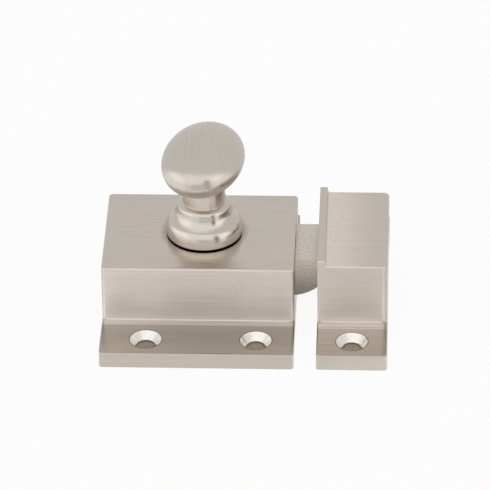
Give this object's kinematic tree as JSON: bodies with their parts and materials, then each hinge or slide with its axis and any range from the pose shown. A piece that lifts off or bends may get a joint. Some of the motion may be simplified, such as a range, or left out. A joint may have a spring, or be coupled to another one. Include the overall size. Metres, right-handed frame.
{
  "type": "cupboard catch latch",
  "caption": "Cupboard catch latch: a flanged case with an oval turn knob that draws in a spring bolt, and a hollow strike of the same section with a raised lip.",
  "frame": {"origin": "the knob's axis on the mounting plane, which is the open back of the case", "axes": "+X along the bolt towards the strike, +Y across the flanges, +Z away from the cupboard door along the knob"},
  "size_m": [0.0564, 0.0508, 0.0379],
  "materials": {
    "satin_nickel": "satin nickel plate, fine brush lines",
    "cast_nickel": "nickel plate over the cast skin, matt",
    "plain_steel": "bright zinc plate",
    "spring_steel": "drawn wire"
  },
  "bodies": {
    "case": {"case": "satin_nickel", "strike": "satin_nickel", "back_plate": "plain_steel", "plate_screws": "plain_steel", "bolt_spring": "spring_steel"},
    "knob": {"knob": "satin_nickel", "crank": "plain_steel", "crank_washer": "plain_steel", "crank_screw": "plain_steel"},
    "bolt": {"bolt": "cast_nickel"}
  },
  "joints": [
    {"name": "knob_turn", "type": "hinge", "parent": "case", "child": "knob", "pos_m": [0, 0, 0], "axis": [0, 0, -1], "range_deg": [0, 60]},
    {"name": "bolt_slide", "type": "slide", "parent": "case", "child": "bolt", "axis": [-1, 0, 0], "range_m": [0, 0.0064], "stiffness_N_per_m": 500, "springref_m": -0.006, "deforming": ["bolt_spring"]}
  ],
  "couplings": [
    {"joint": "knob_turn", "follows": "bolt_slide", "rad_per_m": 163.62}
  ]
}
